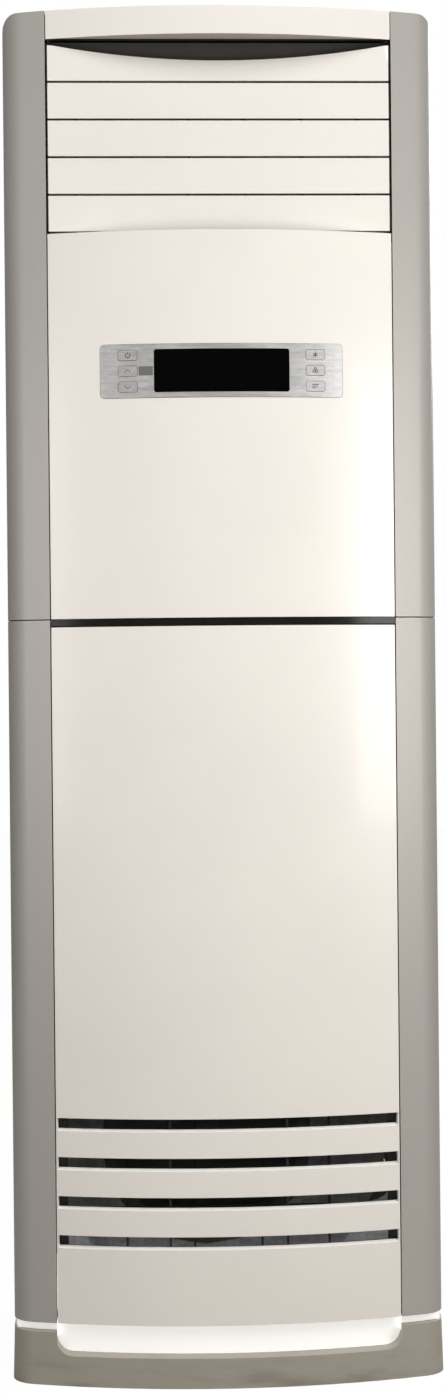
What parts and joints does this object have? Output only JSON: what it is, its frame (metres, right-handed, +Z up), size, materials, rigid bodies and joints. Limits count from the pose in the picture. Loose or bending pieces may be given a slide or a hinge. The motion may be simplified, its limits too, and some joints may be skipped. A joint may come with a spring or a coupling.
{
  "type": "floor standing air conditioner",
  "caption": "Tall floor standing cabinet air conditioner with bowed front, top air louvres, control plate and low intake slots.",
  "frame": {"origin": "middle of the foot, on the floor", "axes": "+Z up, -Y towards the front with the louvres and control plate, +X to the right seen from the front"},
  "size_m": [0.608, 0.43, 1.91],
  "materials": {
    "white_shell": "satin",
    "silver_shell": "fine metallic paint, satin",
    "white_sheet": "powder coat",
    "brushed_plate": "fine horizontal brush lines",
    "dark_plastic": "matt",
    "black_gloss": "gloss",
    "display_window": "polished, opaque black",
    "smoke_window": "polished, smoked",
    "galvanised": "zinc spangle",
    "fins": "closely spaced fins",
    "copper": "drawn copper tube",
    "rubber": "matt",
    "foam": "moulded foam and thermoset",
    "board": "solder mask"
  },
  "bodies": {
    "chassis": {"base_skirt": "silver_shell", "base_pan": "white_sheet", "left_lower_pillar": "silver_shell", "right_lower_pillar": "silver_shell", "left_upper_pillar": "silver_shell", "right_upper_pillar": "silver_shell", "header_panel": "white_shell", "top_cover": "silver_shell", "left_side_panel": "silver_shell", "right_side_panel": "silver_shell", "rear_panel": "galvanised", "pipe_grommet": "rubber", "wall_bracket": "galvanised", "seam_strip": "black_gloss", "upper_front_panel": "white_shell", "control_plate": "brushed_plate", "display_glass": "display_window", "receiver_window": "smoke_window", "display_board": "board", "outlet_frame": "dark_plastic", "louvre_motor": "galvanised", "vane_motor": "galvanised", "evaporator_coil": "fins", "coil_plate_left": "galvanised", "coil_plate_right": "galvanised", "drain_pan": "foam", "plenum_cover": "galvanised", "fan_deck": "galvanised", "scroll_casing": "galvanised", "scroll_front": "galvanised", "inlet_ring": "dark_plastic", "blower_motor": "galvanised", "motor_bracket": "galvanised", "electrical_box": "galvanised", "electrical_box_cover": "galvanised", "terminal_block": "foam", "gas_pipe": "copper", "liquid_pipe": "copper"},
    "lower_panel": {"lower_front_panel": "white_shell"},
    "filter": {"air_filter": "dark_plastic"},
    "louvre_1_blade": {"louvre_1": "white_shell"},
    "louvre_2_blade": {"louvre_2": "white_shell"},
    "louvre_3_blade": {"louvre_3": "white_shell"},
    "louvre_4_blade": {"louvre_4": "white_shell"},
    "louvre_5_blade": {"louvre_5": "white_shell"},
    "louvre_link_bar": {"louvre_link": "dark_plastic"},
    "vane_1_blade": {"vane_1": "dark_plastic"},
    "vane_2_blade": {"vane_2": "dark_plastic"},
    "vane_3_blade": {"vane_3": "dark_plastic"},
    "vane_4_blade": {"vane_4": "dark_plastic"},
    "vane_5_blade": {"vane_5": "dark_plastic"},
    "vane_6_blade": {"vane_6": "dark_plastic"},
    "vane_link_bar": {"vane_link": "dark_plastic"},
    "wheel": {"blower_wheel": "dark_plastic"},
    "power_key": {"power_button": "brushed_plate"},
    "up_key": {"up_button": "brushed_plate"},
    "down_key": {"down_button": "brushed_plate"},
    "mode_key": {"mode_button": "brushed_plate"},
    "fan_key": {"fan_button": "brushed_plate"},
    "swing_key": {"swing_button": "brushed_plate"}
  },
  "joints": [
    {"name": "lower_panel_tilt", "type": "hinge", "parent": "chassis", "child": "lower_panel", "pos_m": [0, -0.173, 0.098], "axis": [1, 0, 0], "range_deg": [0, 12]},
    {"name": "filter_slide", "type": "slide", "parent": "lower_panel", "child": "filter", "axis": [0, 0, 1], "range_m": [0, 0.24]},
    {"name": "louvre_3_turn", "type": "hinge", "parent": "chassis", "child": "louvre_3_blade", "pos_m": [0, -0.169, 1.73325], "axis": [1, 0, 0], "range_deg": [0, 90]},
    {"name": "louvre_1_turn", "type": "hinge", "parent": "chassis", "child": "louvre_1_blade", "pos_m": [0, -0.169, 1.83785], "axis": [1, 0, 0], "range_deg": [0, 90]},
    {"name": "louvre_2_turn", "type": "hinge", "parent": "chassis", "child": "louvre_2_blade", "pos_m": [0, -0.169, 1.78555], "axis": [1, 0, 0], "range_deg": [0, 90]},
    {"name": "louvre_4_turn", "type": "hinge", "parent": "chassis", "child": "louvre_4_blade", "pos_m": [0, -0.169, 1.68095], "axis": [1, 0, 0], "range_deg": [0, 90]},
    {"name": "louvre_5_turn", "type": "hinge", "parent": "chassis", "child": "louvre_5_blade", "pos_m": [0, -0.169, 1.62865], "axis": [1, 0, 0], "range_deg": [0, 90]},
    {"name": "louvre_link_pin", "type": "hinge", "parent": "louvre_3_blade", "child": "louvre_link_bar", "pos_m": [0, -0.1591, 1.72335], "axis": [1, 0, 0], "range_deg": [-90, 0]},
    {"name": "vane_3_turn", "type": "hinge", "parent": "chassis", "child": "vane_3_blade", "pos_m": [-0.04022, -0.105, 1.7], "axis": [0, 0, 1], "range_deg": [-35, 35]},
    {"name": "vane_1_turn", "type": "hinge", "parent": "chassis", "child": "vane_1_blade", "pos_m": [-0.20108, -0.105, 1.7], "axis": [0, 0, 1], "range_deg": [-35, 35]},
    {"name": "vane_2_turn", "type": "hinge", "parent": "chassis", "child": "vane_2_blade", "pos_m": [-0.12065, -0.105, 1.7], "axis": [0, 0, 1], "range_deg": [-35, 35]},
    {"name": "vane_4_turn", "type": "hinge", "parent": "chassis", "child": "vane_4_blade", "pos_m": [0.04022, -0.105, 1.7], "axis": [0, 0, 1], "range_deg": [-35, 35]},
    {"name": "vane_5_turn", "type": "hinge", "parent": "chassis", "child": "vane_5_blade", "pos_m": [0.12065, -0.105, 1.7], "axis": [0, 0, 1], "range_deg": [-35, 35]},
    {"name": "vane_6_turn", "type": "hinge", "parent": "chassis", "child": "vane_6_blade", "pos_m": [0.20108, -0.105, 1.7], "axis": [0, 0, 1], "range_deg": [-35, 35]},
    {"name": "vane_link_pin", "type": "hinge", "parent": "vane_3_blade", "child": "vane_link_bar", "pos_m": [-0.04022, -0.078, 1.646], "axis": [0, 0, 1], "range_deg": [-35, 35]},
    {"name": "wheel_spin", "type": "hinge", "parent": "chassis", "child": "wheel", "pos_m": [-0.026, 0.03, 0.31], "axis": [0, 1, 0], "continuous": true},
    {"name": "power_press", "type": "slide", "parent": "chassis", "child": "power_key", "axis": [0.1333, 0.9911, 0], "range_m": [0, 0.0012], "stiffness_N_per_m": 1500},
    {"name": "up_press", "type": "slide", "parent": "chassis", "child": "up_key", "axis": [0.1333, 0.9911, 0], "range_m": [0, 0.0012], "stiffness_N_per_m": 1500},
    {"name": "down_press", "type": "slide", "parent": "chassis", "child": "down_key", "axis": [0.1333, 0.9911, 0], "range_m": [0, 0.0012], "stiffness_N_per_m": 1500},
    {"name": "mode_press", "type": "slide", "parent": "chassis", "child": "mode_key", "axis": [-0.1333, 0.9911, 0], "range_m": [0, 0.0012], "stiffness_N_per_m": 1500},
    {"name": "fan_press", "type": "slide", "parent": "chassis", "child": "fan_key", "axis": [-0.1333, 0.9911, 0], "range_m": [0, 0.0012], "stiffness_N_per_m": 1500},
    {"name": "swing_press", "type": "slide", "parent": "chassis", "child": "swing_key", "axis": [-0.1333, 0.9911, 0], "range_m": [0, 0.0012], "stiffness_N_per_m": 1500}
  ],
  "couplings": [
    {"joint": "louvre_1_turn", "follows": "louvre_3_turn", "ratio": 1},
    {"joint": "louvre_2_turn", "follows": "louvre_3_turn", "ratio": 1},
    {"joint": "louvre_4_turn", "follows": "louvre_3_turn", "ratio": 1},
    {"joint": "louvre_5_turn", "follows": "louvre_3_turn", "ratio": 1},
    {"joint": "louvre_link_pin", "follows": "louvre_3_turn", "ratio": -1},
    {"joint": "vane_1_turn", "follows": "vane_3_turn", "ratio": 1},
    {"joint": "vane_2_turn", "follows": "vane_3_turn", "ratio": 1},
    {"joint": "vane_4_turn", "follows": "vane_3_turn", "ratio": 1},
    {"joint": "vane_5_turn", "follows": "vane_3_turn", "ratio": 1},
    {"joint": "vane_6_turn", "follows": "vane_3_turn", "ratio": 1},
    {"joint": "vane_link_pin", "follows": "vane_3_turn", "ratio": -1}
  ]
}
